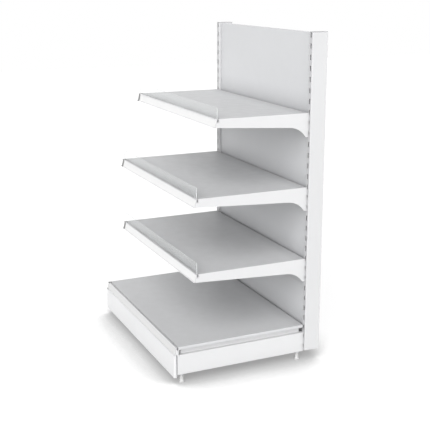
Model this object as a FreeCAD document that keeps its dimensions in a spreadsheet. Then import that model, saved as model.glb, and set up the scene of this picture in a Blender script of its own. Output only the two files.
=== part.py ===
"""Wall gondola shelving: one bay of slotted uprights, a base, three hook-on shelves and a sheet steel back.

X runs along the bay, Y towards the wall and Z up from the floor, in millimetres.
The origin is on the floor, under the middle of the bay's bounding box.
"""
import FreeCAD, Part
import math
import os
import types

import Sketcher

doc = FreeCAD.newDocument("WallGondola")
sheet = doc.addObject("Spreadsheet::Sheet", "Sizes")

SIZES = {
    "bay_width": 1000.0,            # middle of one upright to the middle of the other
    "upright_width": 30.0,
    "upright_depth": 80.0,
    "upright_wall": 2.0,
    "upright_corner": 3.0,          # outer bend radius of the tube
    "upright_length": 1528.0,
    "upright_step": 8.0,            # upright's lower end above the legs' underside
    "slot_height": 24.0,
    "slot_pitch": 50.0,
    "slot_first": 17.0,             # middle of the lowest slot above the upright's lower end
    "slot_margin": 15.0,            # least height of the highest slot, which the tube's end may cut
    "slot_play": 1.6,               # hook's side to the slot's side
    "cap_height": 3.0,
    "cap_plug": 12.0,
    "cap_clearance": 0.2,
    "cap_setback": 12.0,            # cap's plug behind the tube's front wall, clear of the highest slot
    "cap_edge": 1.0,                # rounding of the lid's upper edges
    "panel_lift": 28.0,             # lowest panel's bottom above the upright's lower end
    "low_panel_height": 300.0,
    "panel_setback": 12.0,          # back panel's face behind the uprights' front
    "panel_depth": 15.0,
    "panel_sheet": 1.0,
    "panel_bend": 1.5,              # outer bend radius round the panel's face
    "panel_gap": 0.3,
    "tie_height": 50.0,
    "tie_wall": 2.0,
    "tie_gap": 0.2,                 # tie rail's end to the upright
    "lug_height": 30.0,
    "lug_depth": 20.0,
    "lug_length": 8.0,
    "lug_clearance": 0.2,
    "seat_height": 3.0,             # ledge of the bottom tie rail that carries the panels
    "wall_hole": 9.0,
    "wall_hole_spacing": 600.0,
    "access_hole": 20.0,
    "plate_thickness": 3.0,         # plate that the legs and the shelf brackets are made of
    "leg_lift": 44.0,
    "leg_margin": 10.0,             # leg's shoulder above its upper slot
    "leg_flange": 28.0,
    "leg_joggle": 16.0,             # step inwards of the leg's upper edge, behind the deck's skirt
    "leg_gap": 5.0,                 # leg's front to the kick plate's flanges
    "upstand_gap": 2.0,             # leg's upper edge to the deck's hems
    "deck_gap": 26.0,               # deck's skirt above the leg's shoulder
    "deck_reach": 655.0,
    "deck_skirt": 13.0,
    "tray_sheet": 1.2,
    "tray_bend": 2.0,               # outer bend radius along the folded edges
    "tray_skirt": 30.0,
    "tray_hem": 12.0,
    "tray_back_gap": 2.0,
    "tray_side_gap": 0.5,
    "seat_gap": 0.1,                # what rests on a ledge above that ledge
    "stiffener_width": 60.0,
    "stiffener_height": 20.0,
    "upper_shelf_reach": 453.0,
    "middle_shelf_reach": 553.0,
    "lower_shelf_reach": 553.0,
    "upper_shelf_slot": 22,         # slot of the bracket's upper hook, counted from the lowest
    "middle_shelf_slot": 15,
    "lower_shelf_slot": 8,
    "shelf_rise": 48.0,             # shelf's top above the middle of that slot
    "bracket_front": 38.0,
    "bracket_middle": 66.0,
    "bracket_margin": 2.0,          # bracket's root below its lower slot
    "bracket_foot": 14.0,           # flat at the bottom of the root
    "swoop_setback": 48.0,
    "swoop_radius": 108.0,
    "ledge_width": 16.0,
    "ledge_thickness": 3.0,
    "ledge_end_gap": 6.0,
    "hook_offset": 0.4,             # plate's outer face from the upright's middle line
    "hook_neck": 10.0,
    "hook_drop": 9.0,
    "hook_tongue": 3.5,
    "hook_gap": 0.3,
    "rail_channel": 12.0,
    "rail_channel_height": 16.0,
    "rail_wall": 1.6,
    "rail_drop": 38.0,
    "rail_reach": 24.0,
    "label_lip": 3.5,
    "label_thickness": 0.8,
    "label_gap": 0.2,
    "label_bare_end": 28.0,         # left end of a shelf's label holder that its strip leaves bare
    "nose_gap": 0.8,                # bracket's and leg's nose to the rail that hides it
    "fence_thickness": 2.5,
    "fence_gap": 0.3,
    "fence_height": 50.0,
    "fence_end_gap": 8.0,           # fence's end to the rail's end, clear of the brackets
    "fence_corner": 8.0,
    "kick_gap": 2.0,                # kick plate below the deck's price rail
    "kick_lift": 30.0,
    "kick_sheet": 1.2,
    "kick_flange": 12.0,
    "kick_end_gap": 1.0,
    "clip_width": 20.0,
    "clip_sheet": 2.0,
    "clip_gap": 0.2,
    "clip_screw": 5.0,
    "clip_screw_head": 9.0,
    "clip_screw_head_height": 3.0,
    "clip_screw_spacing": 60.0,
    "clip_screw_gap": 0.1,
    "foot_setback": 26.0,           # foot's middle from the leg's front and back ends
    "foot_base": 26.0,
    "foot_base_height": 8.0,
    "foot_cone_height": 5.0,
    "foot_stem": 18.0,
    "foot_screw": 10.0,
    "foot_screw_rise": 28.0,        # screw's end above the leg's flange
    "foot_screw_seat": 10.0,        # bottom of the screw's socket above the floor
    "foot_screw_gap": 0.05,
    "foot_hole_gap": 0.5,
    "driver_slot": 2.0,
    "nut_across": 17.0,
    "nut_height": 8.0,
    "foot_nut_gap": 0.2,
}
TALL_PANELS = 3                     # back panels of full height, above the low one
MOST_OF_AN_EDGE = 0.95              # share of a straight edge that a bend at its end may use up
CLOSE = 1e-6                        # two places this near are the same place


class Formula:
    """A size: its number, and the text that works it out from the sheet's cells."""

    def __init__(self, text, value):
        self.text = text
        self.value = value

    def __add__(self, other):
        other = formula(other)
        return Formula(f"({self.text} + {other.text})", self.value + other.value)

    def __sub__(self, other):
        other = formula(other)
        return Formula(f"({self.text} - {other.text})", self.value - other.value)

    def __mul__(self, other):
        other = formula(other)
        return Formula(f"({self.text} * {other.text})", self.value * other.value)

    def __truediv__(self, other):
        other = formula(other)
        return Formula(f"({self.text} / {other.text})", self.value / other.value)

    def __radd__(self, other):
        return formula(other) + self

    def __rsub__(self, other):
        return formula(other) - self

    def __rmul__(self, other):
        return formula(other) * self

    def __neg__(self):
        return formula(0) - self


def formula(size):
    return size if isinstance(size, Formula) else Formula(str(size), float(size))


def whole(size):
    """The whole number below a size."""
    return Formula(f"floor({size.text})", math.floor(size.value))


def smaller(one, other):
    return Formula(f"min({one.text}; {other.text})", min(one.value, other.value))


def distance(run, rise):
    return Formula(f"sqrt({run.text}^2 + {rise.text}^2)", math.hypot(run.value, rise.value))


for row, (alias, number) in enumerate(SIZES.items(), start=1):
    sheet.set(f"A{row}", alias.replace("_", " "))
    sheet.set(f"B{row}", str(number))
    sheet.setAlias(f"B{row}", alias)
doc.recompute()
cells = {alias: Formula(f"Sizes.{alias}", float(number)) for alias, number in SIZES.items()}
s = types.SimpleNamespace(**cells)

nodes = []


def bind(thing, prop, size):
    thing.setExpression(prop, formula(size).text)


def place(thing, at):
    for axis, size in zip("xyz", at):
        bind(thing, f"Placement.Base.{axis}", size)


def box(name, low, size):
    """A block from its low corner and its sizes along X, Y and Z."""
    block = doc.addObject("Part::Box", name)
    for side, length in zip(("Length", "Width", "Height"), size):
        bind(block, side, length)
    place(block, low)
    return block


def rod(name, middle, radius, length, along="z"):
    """A round bar from the middle of its first end, along Z or Y."""
    bar = doc.addObject("Part::Cylinder", name)
    bind(bar, "Radius", radius)
    bind(bar, "Height", length)
    if along == "y":
        bar.Placement.Rotation = FreeCAD.Rotation(FreeCAD.Vector(1, 0, 0), -90)
    place(bar, middle)
    return bar


def fused(name, pieces):
    joined = doc.addObject("Part::MultiFuse", name)
    joined.Shapes = pieces
    joined.Refine = True
    return joined


def cut(name, base, tools):
    result = doc.addObject("Part::Cut", name)
    result.Base = base
    result.Tool = tools[0] if len(tools) == 1 else fused(f"{name}_cuts", tools)
    result.Refine = True
    return result


def mirrored(name, source):
    """The same piece on the other side of the bay's middle plane."""
    twin = doc.addObject("Part::Mirroring", name)
    twin.Source = source
    twin.Normal = FreeCAD.Vector(1, 0, 0)
    return twin


def group(name, pieces):
    together = doc.addObject("Part::Compound", name)
    together.Links = pieces
    return together


def node(label, thing):
    """Keeps a finished sub-part under the name of its file."""
    thing.Label = label
    nodes.append(thing)
    return thing


def pair(label, source):
    """A left-hand sub-part and its right-hand twin."""
    node(f"{label}_left", source)
    node(f"{label}_right", mirrored(f"{label}_right", source))


def folded(name, block, radius, chosen):
    """Rounds the edges of a block that the test picks, as a press brake leaves them."""
    doc.recompute()
    bend = doc.addObject("Part::Fillet", name)
    bend.Base = block
    picked = [i for i, edge in enumerate(block.Shape.Edges, start=1) if chosen(edge)]
    bend.Edges = [(i, radius.value, radius.value) for i in picked]
    return bend


def new_body(name, at):
    body = doc.addObject("PartDesign::Body", name)
    place(body, at)
    return body


def outline(body, name, plane, loops):
    """A sketch of closed loops on one of the body's own planes, every corner tied to the sheet."""
    sketch = body.newObject("Sketcher::SketchObject", name)
    support = next(f for f in body.Origin.OriginFeatures if f.Role == plane)
    sketch.AttachmentSupport = [(support, "")]
    sketch.MapMode = "FlatFace"
    first = 0
    for loop in loops:
        corners = [(formula(across), formula(up)) for across, up in loop]
        spots = [FreeCAD.Vector(across.value, up.value, 0) for across, up in corners]
        count = len(spots)
        for i in range(count):
            sketch.addGeometry(Part.LineSegment(spots[i], spots[(i + 1) % count]))
        for i in range(count):
            following = first + (i + 1) % count
            sketch.addConstraint(Sketcher.Constraint("Coincident", first + i, 2, following, 1))
        for i, corner in enumerate(corners):
            for kind, size in zip(("DistanceX", "DistanceY"), corner):
                tie = sketch.addConstraint(Sketcher.Constraint(kind, -1, 1, first + i, 1, size.value))
                bind(sketch, f"Constraints[{tie}]", size)
        first += count
    return sketch


def pad(body, sketch, length):
    grown = body.newObject("PartDesign::Pad", f"{sketch.Name}_pad")
    grown.Profile = sketch
    bind(grown, "Length", length)
    return grown


def pocket(body, sketch, length, reverse=False):
    """A cut from the sketch's plane; it has to take material away."""
    doc.recompute()
    before = body.Shape.Volume
    hollow = body.newObject("PartDesign::Pocket", f"{sketch.Name}_pocket")
    hollow.Profile = sketch
    hollow.Reversed = reverse
    bind(hollow, "Length", length)
    doc.recompute()
    if before - body.Shape.Volume < CLOSE:
        raise RuntimeError(f"{sketch.Name} cuts nothing")
    return hollow


def rounded(body, feature, name, radius, chosen):
    doc.recompute()
    picked = [f"Edge{i}" for i, edge in enumerate(feature.Shape.Edges, start=1) if chosen(edge)]
    bend = body.newObject("PartDesign::Fillet", name)
    bend.Base = (feature, picked)
    bind(bend, "Radius", radius)
    return bend


def rectangle(low, high):
    return [(low[0], low[1]), (high[0], low[1]), (high[0], high[1]), (low[0], high[1])]


def runs_along(edge, axis):
    """True for a straight edge parallel to the named axis."""
    start, end = (v.Point for v in (edge.Vertexes[0], edge.Vertexes[-1]))
    step = end - start
    others = [getattr(step, other) for other in "xyz" if other != axis]
    return step.Length > CLOSE and max(abs(part) for part in others) < CLOSE


# Planes that several pieces share
face_y = (s.deck_reach + s.rail_reach - s.upright_depth) / 2
post_x = -(s.bay_width / 2)
plate_x = post_x + s.hook_offset
half_rail = s.bay_width / 2 - s.hook_offset
post_bottom = s.leg_lift + s.upright_step
post_top = post_bottom + s.upright_length
panel_y = face_y + s.panel_setback
panel_bottom = post_bottom + s.panel_lift
panel_height = (post_top - panel_bottom - s.low_panel_height) / TALL_PANELS
tie_y = panel_y + s.panel_depth
back_y = face_y + s.upright_depth
half_gap = s.bay_width / 2 - s.upright_width / 2


def slot_z(index):
    """Height of the middle of a slot, counted from the lowest."""
    return post_bottom + s.slot_first + index * s.slot_pitch


leg_top = slot_z(1) + s.slot_height / 2 + s.leg_margin
deck_top = leg_top + s.deck_gap + s.deck_skirt


# Tie rails: square tubes between the uprights, at the panels' joints, with a lug at each end
tie_bottoms = {
    "top": post_top - s.cap_plug - s.tie_height,
    "middle": post_top - 2 * panel_height - s.tie_height / 2,
    "bottom": panel_bottom,
}
lug_y = tie_y + (s.upright_depth - s.panel_setback - s.panel_depth) / 2 - s.lug_depth / 2


def tie_rail(name, bottom, for_wall_screws):
    tube = s.tie_wall
    depth = back_y - tie_y
    half = half_gap - s.tie_gap
    shell = box(f"{name}_shell", (-half, tie_y, bottom), (2 * half, depth, s.tie_height))
    hollow = box(f"{name}_hollow", (-half + tube, tie_y + tube, bottom + tube),
                 (2 * half - 2 * tube, depth - 2 * tube, s.tie_height - 2 * tube))
    pieces = [cut(f"{name}_tube", shell, [hollow])]
    lug_z = bottom + s.tie_height / 2 - s.lug_height / 2
    for side, start in (("left", -half - s.lug_length), ("right", half)):
        pieces.append(box(f"{name}_lug_{side}", (start, lug_y, lug_z),
                          (s.lug_length, s.lug_depth, s.lug_height)))
    if name.endswith("bottom"):
        pieces.append(box(f"{name}_seat", (-half, panel_y, bottom - s.seat_height),
                          (2 * half, depth + s.panel_depth, s.seat_height)))
    rail = fused(f"{name}_whole", pieces)
    if for_wall_screws:
        holes = []
        for side, hole_x in (("left", -(s.wall_hole_spacing / 2)), ("right", s.wall_hole_spacing / 2)):
            middle = bottom + s.tie_height / 2
            holes.append(rod(f"{name}_screw_hole_{side}", (hole_x, tie_y + tube, middle),
                             s.wall_hole / 2, depth, "y"))
            holes.append(rod(f"{name}_access_hole_{side}", (hole_x, tie_y - tube, middle),
                             s.access_hole / 2, 3 * tube, "y"))
        rail = cut(f"{name}_drilled", rail, holes)
    return node(name, rail)


tie_rail("tie_rail_top", tie_bottoms["top"], True)
tie_rail("tie_rail_middle", tie_bottoms["middle"], True)
tie_rail("tie_rail_bottom", tie_bottoms["bottom"], False)


# Uprights: rectangular steel tube with a column of slots in front and three lug slots inside
def upright():
    body = new_body("upright", (post_x, face_y, post_bottom))
    half = s.upright_width / 2
    wall = s.upright_wall
    ring = [rectangle((-half, 0), (half, s.upright_depth)),
            rectangle((-half + wall, wall), (half - wall, s.upright_depth - wall))]
    tube = pad(body, outline(body, "upright_section", "XY_Plane", ring), s.upright_length)

    def outer_corner(edge):
        spot = edge.Vertexes[0].Point
        at_side = abs(abs(spot.x) - half.value) < CLOSE
        at_end = min(abs(spot.y), abs(spot.y - s.upright_depth.value)) < CLOSE
        return runs_along(edge, "z") and at_side and at_end

    rounded(body, tube, "upright_bends", s.upright_corner, outer_corner)
    half_slot = s.hook_offset + s.plate_thickness + s.slot_play
    slot = rectangle((-half_slot, s.slot_first - s.slot_height / 2),
                     (half_slot, s.slot_first + s.slot_height / 2))
    room = s.upright_length - s.slot_first + s.slot_height / 2 - s.slot_margin
    more_slots = whole(room / s.slot_pitch)
    first_slot = pocket(body, outline(body, "upright_slot", "XZ_Plane", [slot]), 2 * wall)
    column = body.newObject("PartDesign::LinearPattern", "upright_slots")
    column.Originals = [first_slot]
    column.Direction = (next(f for f in body.Origin.OriginFeatures if f.Role == "Z_Axis"), [""])
    bind(column, "Length", more_slots * s.slot_pitch)
    bind(column, "Occurrences", more_slots + 1)
    body.Tip = column
    gap = s.lug_clearance
    lug_slots = []
    for bottom in tie_bottoms.values():
        low_z = bottom + s.tie_height / 2 - s.lug_height / 2 - post_bottom
        lug_slots.append(rectangle((lug_y - face_y - gap, low_z - gap),
                                   (lug_y - face_y + s.lug_depth + gap, low_z + s.lug_height + gap)))
    pocket(body, outline(body, "upright_lug_slots", "YZ_Plane", lug_slots), s.upright_width, reverse=True)
    return body


pair("upright", upright())


# Upright caps: moulded lids with a plug in the tube's mouth, behind the highest slot
def upright_cap():
    half = s.upright_width / 2
    lid = box("cap_lid", (post_x - half, face_y, post_top),
              (s.upright_width, s.upright_depth, s.cap_height))
    lid = folded("cap_lid_corners", lid, s.upright_corner, lambda edge: runs_along(edge, "z"))
    lid = folded("cap_lid_rounded", lid, s.cap_edge,
                 lambda edge: edge.CenterOfMass.z > (post_top + s.cap_height).value - CLOSE)
    inset = s.upright_wall + s.cap_clearance
    front = inset + s.cap_setback
    plug = box("cap_plug_block", (post_x - half + inset, face_y + front, post_top - s.cap_plug),
               (s.upright_width - 2 * inset, s.upright_depth - front - inset, s.cap_plug))
    return fused("cap", [lid, plug])


pair("upright_cap", upright_cap())


# Back panels: shallow folded trays stacked on the bottom tie rail, between the uprights
def back_panel(name, bottom, height):
    half = half_gap - s.panel_gap
    thin = s.panel_sheet
    shell = box(f"{name}_shell", (-half, panel_y, bottom), (2 * half, s.panel_depth, height))
    shell = folded(f"{name}_bends", shell, s.panel_bend,
                   lambda edge: abs(edge.CenterOfMass.y - panel_y.value) < CLOSE)
    hollow = box(f"{name}_hollow", (-half + thin, panel_y + thin, bottom + thin),
                 (2 * half - 2 * thin, s.panel_depth, height - 2 * thin))
    node(name, cut(f"{name}_tray", shell, [hollow]))


for count in range(1, TALL_PANELS + 1):
    back_panel(f"back_panel_{count}", post_top - count * panel_height, panel_height)
back_panel(f"back_panel_{TALL_PANELS + 1}", panel_bottom, s.low_panel_height)


def hook(slot_middle, outer_y):
    """Corners of one hook, from below its neck to above it, beyond the plate's rear edge."""
    neck_bottom = slot_middle - s.slot_height / 2 + s.hook_gap
    neck_top = neck_bottom + s.hook_neck
    tongue_front = s.upright_wall + s.hook_gap
    tongue_back = tongue_front + s.hook_tongue
    tongue_bottom = neck_bottom - s.hook_drop
    return [(outer_y, neck_bottom), (tongue_front, neck_bottom), (tongue_front, tongue_bottom),
            (tongue_back, tongue_bottom), (tongue_back, neck_top), (outer_y, neck_top)]


label_pocket = s.label_thickness + 2 * s.label_gap
nose_depth = s.rail_channel_height + s.nose_gap


def label_front(depth_below_top):
    """How far the label holder's sloping backing stands in front of the tray, at a depth below its top."""
    run = s.rail_reach - label_pocket - s.rail_wall - s.rail_channel
    return s.rail_channel + run * depth_below_top / s.rail_drop


def nose(reach, top, drop):
    """Upper and lower front corner of a plate that closes the price rail's end, behind the label holder."""
    clear = s.rail_wall + s.nose_gap
    return [(clear - reach - label_front(depth), top - depth) for depth in (nose_depth, formula(drop))]


# Base legs: folded plates that hook into the lowest two slots and stand on two feet each
leg_reach = s.deck_reach + s.rail_reach - s.kick_flange - s.leg_gap
leg_front_y = face_y - leg_reach
flange_middle_x = plate_x + (s.plate_thickness + s.leg_flange) / 2
foot_ys = {"front": leg_front_y + s.foot_setback, "rear": face_y - s.foot_setback}
leg_middle_z = (s.leg_lift + leg_top) / 2
screw_zs = {"low": leg_middle_z - s.clip_screw_spacing / 2,
            "high": leg_middle_z + s.clip_screw_spacing / 2}


def base_leg():
    thin = s.plate_thickness
    length = leg_reach - s.hook_gap
    body = new_body("leg", (plate_x, face_y, 0))
    profile = [(-leg_reach, s.leg_lift), (-s.hook_gap, s.leg_lift)]
    profile += hook(slot_z(0), -s.hook_gap) + hook(slot_z(1), -s.hook_gap)
    nose_back = -(s.deck_reach + s.nose_gap)
    profile += [(-s.hook_gap, leg_top), (nose_back, leg_top), (nose_back, deck_top - nose_depth)]
    profile += nose(s.deck_reach, deck_top, s.rail_drop) + [(-leg_reach, deck_top - s.rail_drop)]
    pad(body, outline(body, "leg_side", "YZ_Plane", [profile]), thin)
    step = s.leg_joggle
    upstand_top = deck_top - s.tray_sheet - s.seat_gap
    hem = s.tray_sheet + s.tray_hem + s.upstand_gap
    upstand_length = s.deck_reach - s.tray_back_gap - 2 * hem
    low = (plate_x, leg_front_y)
    pieces = [
        body,
        box("leg_bottom_flange", (*low, s.leg_lift), (s.leg_flange, length, thin)),
        box("leg_step", (*low, leg_top - thin), (step + thin, length, thin)),
        box("leg_upstand", (plate_x + step, face_y - s.deck_reach + hem, leg_top - thin),
            (thin, upstand_length, upstand_top - leg_top + thin)),
        box("leg_front_flange", (*low, s.leg_lift), (s.leg_flange, thin, leg_top - s.leg_lift)),
    ]
    holes = [rod(f"leg_foot_hole_{end}", (flange_middle_x, y, s.leg_lift - thin),
                 s.foot_screw / 2 + s.foot_hole_gap, 3 * thin) for end, y in foot_ys.items()]
    holes += [rod(f"leg_clip_hole_{level}", (flange_middle_x, leg_front_y - thin, z),
                  s.clip_screw / 2 + s.clip_screw_gap, 3 * thin, "y") for level, z in screw_zs.items()]
    return cut("leg_drilled", fused("leg_whole", pieces), holes)


pair("base_leg", base_leg())


# Kick plate: a shallow pan folded from sheet, pushed over a spring clip on each leg
kick_front_y = face_y - s.deck_reach - s.rail_reach
kick_top = deck_top - s.rail_drop - s.kick_gap


def kick_plate():
    half = half_rail - s.kick_end_gap
    thin = s.kick_sheet
    height = kick_top - s.kick_lift
    shell = box("kick_shell", (-half, kick_front_y, s.kick_lift), (2 * half, s.kick_flange, height))
    shell = folded("kick_bends", shell, s.tray_bend,
                   lambda edge: abs(edge.CenterOfMass.y - kick_front_y.value) < CLOSE)
    hollow = box("kick_hollow", (-half + thin, kick_front_y + thin, s.kick_lift + thin),
                 (2 * half - 2 * thin, s.kick_flange, height - 2 * thin))
    return cut("kick_pan", shell, [hollow])


node("kick_plate", kick_plate())


def kick_clip():
    """A bent strap screwed to the leg's front, its two arms inside the kick plate's flanges."""
    thin = s.clip_sheet
    low = s.kick_lift + s.kick_sheet + s.clip_gap
    high = kick_top - s.kick_sheet - s.clip_gap
    arm_front = kick_front_y + s.kick_sheet + s.clip_gap
    arm = leg_front_y - arm_front
    clip_x = flange_middle_x - s.clip_width / 2
    pieces = [
        box("clip_plate", (clip_x, leg_front_y - thin, low), (s.clip_width, thin, high - low)),
        box("clip_low_arm", (clip_x, arm_front, low), (s.clip_width, arm, thin)),
        box("clip_high_arm", (clip_x, arm_front, high - thin), (s.clip_width, arm, thin)),
    ]
    holes = [rod(f"clip_hole_{level}", (flange_middle_x, leg_front_y - 2 * thin, z),
                 s.clip_screw / 2 + s.clip_screw_gap, 3 * thin, "y") for level, z in screw_zs.items()]
    return cut("clip", fused("clip_whole", pieces), holes)


def clip_screw(level, z):
    thread = s.clip_sheet + s.plate_thickness
    head_height = s.clip_screw_head_height
    start = (flange_middle_x, leg_front_y - s.clip_sheet - head_height, z)
    head = rod(f"clip_screw_head_{level}", start, s.clip_screw_head / 2, head_height, "y")
    shank = rod(f"clip_screw_shank_{level}", start, s.clip_screw / 2, head_height + thread, "y")
    return fused(f"clip_screw_{level}", [head, shank])


def both_sides(label, pieces):
    """Like fasteners of the left side and their right-hand twins, kept as one sub-part."""
    twins = [mirrored(f"{piece.Name}_right", piece) for piece in pieces]
    node(label, group(f"{label}_all", pieces + twins))


pair("kick_clip", kick_clip())
both_sides("clip_screws", [clip_screw(level, z) for level, z in screw_zs.items()])


# Levelling feet: a moulded foot that turns on a screw, in a nut under the leg
nut_bottom = s.leg_lift - s.nut_height


def foot_nut(end, y):
    hexagon = doc.addObject("Part::Prism", f"foot_nut_{end}_hexagon")
    hexagon.Polygon = 6
    bind(hexagon, "Circumradius", Formula(f"{s.nut_across.text} / sqrt(3)", s.nut_across.value / 3 ** 0.5))
    bind(hexagon, "Height", s.nut_height)
    place(hexagon, (flange_middle_x, y, nut_bottom))
    bore = rod(f"foot_nut_{end}_bore", (flange_middle_x, y, nut_bottom - s.nut_height),
               s.foot_screw / 2 + s.foot_screw_gap, 3 * s.nut_height)
    return cut(f"foot_nut_{end}", hexagon, [bore])


def foot(end, y):
    """A wide base, a cone and a stem that reaches up to the nut, with a socket for the screw."""
    top = nut_bottom - s.foot_nut_gap
    base_height = s.foot_base_height
    base = rod(f"foot_{end}_base", (flange_middle_x, y, 0), s.foot_base / 2, base_height)
    cone = doc.addObject("Part::Cone", f"foot_{end}_cone")
    bind(cone, "Radius1", s.foot_base / 2)
    bind(cone, "Radius2", s.foot_stem / 2)
    bind(cone, "Height", s.foot_cone_height)
    place(cone, (flange_middle_x, y, base_height))
    stem = rod(f"foot_{end}_stem", (flange_middle_x, y, base_height), s.foot_stem / 2, top - base_height)
    socket = rod(f"foot_{end}_socket", (flange_middle_x, y, s.foot_screw_seat),
                 s.foot_screw / 2 + s.foot_screw_gap, top)
    return cut(f"foot_{end}_body", fused(f"foot_{end}_whole", [base, cone, stem]), [socket])


def foot_screw(end, y):
    """The screw, with a driver's slot across its upper end."""
    start = s.foot_screw_seat + s.foot_nut_gap
    top = s.leg_lift + s.plate_thickness + s.foot_screw_rise
    shank = rod(f"foot_screw_{end}_shank", (flange_middle_x, y, start), s.foot_screw / 2, top - start)
    groove = box(f"foot_screw_{end}_groove",
                 (flange_middle_x - s.foot_screw, y - s.driver_slot / 2, top - s.driver_slot),
                 (2 * s.foot_screw, s.driver_slot, 2 * s.driver_slot))
    return cut(f"foot_screw_{end}_slotted", shank, [groove])


both_sides("foot_nuts", [foot_nut(end, y) for end, y in foot_ys.items()])
for end, y in foot_ys.items():
    pair(f"foot_{end}", foot(end, y))
    pair(f"foot_screw_{end}", foot_screw(end, y))


# Trays: one sheet folded down on four sides and hemmed in front and behind, with a channel welded below
def tray(name, top, reach, half, skirt, half_bar):
    thin = s.tray_sheet
    front = face_y - reach
    depth = reach - s.tray_back_gap
    shell = box(f"{name}_shell", (-half, front, top - skirt), (2 * half, depth, skirt))
    shell = folded(f"{name}_bends", shell, s.tray_bend,
                   lambda edge: not runs_along(edge, "z") and edge.CenterOfMass.z > (top - skirt / 2).value)
    hollow = box(f"{name}_hollow", (-half + thin, front + thin, top - skirt - thin),
                 (2 * half - 2 * thin, depth - 2 * thin, skirt))
    hem = (2 * half - 2 * thin, s.tray_hem, thin)
    hems = [box(f"{name}_front_hem", (-half + thin, front + thin, top - skirt), hem),
            box(f"{name}_back_hem", (-half + thin, front + depth - thin - s.tray_hem, top - skirt), hem)]
    node(name, fused(f"{name}_sheet", [cut(f"{name}_folded", shell, [hollow]), *hems]))

    bar_y = front + depth / 2 - s.stiffener_width / 2
    bar_z = top - thin - s.stiffener_height
    bar = box(f"{name}_bar", (-half_bar, bar_y, bar_z),
              (2 * half_bar, s.stiffener_width, s.stiffener_height))
    groove = box(f"{name}_bar_groove", (-half_bar - thin, bar_y + thin, bar_z + thin),
                 (2 * half_bar + 2 * thin, s.stiffener_width - 2 * thin, s.stiffener_height))
    node(f"{name}_stiffener", cut(f"{name}_channel", bar, [groove]))


# Price rails: an extrusion along the front edge with a slotted channel on top and a sloping label holder
def price_rail(prefix, top, reach, bare_end):
    wall = s.rail_wall
    channel = s.rail_channel
    deep = s.rail_channel_height
    slot_back = channel / 2 - s.fence_thickness / 2 - s.fence_gap
    slot_front = channel / 2 + s.fence_thickness / 2 + s.fence_gap
    drop = s.rail_drop
    lip = s.label_lip
    inner = label_pocket
    outer = label_pocket + wall
    profile = [
        (0, 0), (slot_back, 0), (slot_back, wall), (wall, wall), (wall, deep - wall),
        (channel - wall, deep - wall), (channel - wall, wall), (slot_front, wall), (slot_front, 0),
        (label_front(0) + outer, 0), (label_front(lip) + outer, lip), (label_front(lip) + inner, lip),
        (label_front(wall) + inner, wall), (label_front(wall), wall),
        (label_front(drop - wall), drop - wall), (label_front(drop - wall) + inner, drop - wall),
        (label_front(drop - lip) + inner, drop - lip), (label_front(drop - lip) + outer, drop - lip),
        (label_front(drop) + outer, drop), (label_front(drop) - wall, drop),
        (label_front(deep) - wall, deep), (0, deep),
    ]
    body = new_body(f"{prefix}_rail_body", (-half_rail, face_y - reach, top))
    corners = [(-formula(forward), -formula(down)) for forward, down in profile]
    pad(body, outline(body, f"{prefix}_rail_profile", "YZ_Plane", [corners]), 2 * half_rail)
    node(f"{prefix}_price_rail", body)

    high = wall + s.label_gap
    low = drop - wall - s.label_gap
    back = s.label_gap
    front = s.label_gap + s.label_thickness
    strip = [(label_front(high) + back, high), (label_front(high) + front, high),
             (label_front(low) + front, low), (label_front(low) + back, low)]
    body = new_body(f"{prefix}_label_body", (bare_end - half_rail, face_y - reach, top))
    corners = [(-formula(forward), -formula(down)) for forward, down in strip]
    pad(body, outline(body, f"{prefix}_label_profile", "YZ_Plane", [corners]), 2 * half_rail - bare_end)
    node(f"{prefix}_label_strip", body)


def fence(prefix, top, reach):
    """A clear upright sheet that drops into the rail's channel."""
    half = half_rail - s.fence_end_gap
    bottom = -(s.rail_channel_height - s.rail_wall - s.fence_gap)
    corner = s.fence_corner
    high = s.fence_height
    profile = [(-half, bottom), (half, bottom), (half, high - corner), (half - corner, high),
               (corner - half, high), (-half, high - corner)]
    front = face_y - reach - s.rail_channel / 2 - s.fence_thickness / 2
    body = new_body(f"{prefix}_fence_body", (0, front + s.fence_thickness, top))
    pad(body, outline(body, f"{prefix}_fence_outline", "XZ_Plane", [profile]), s.fence_thickness)
    node(f"{prefix}_fence", body)


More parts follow.
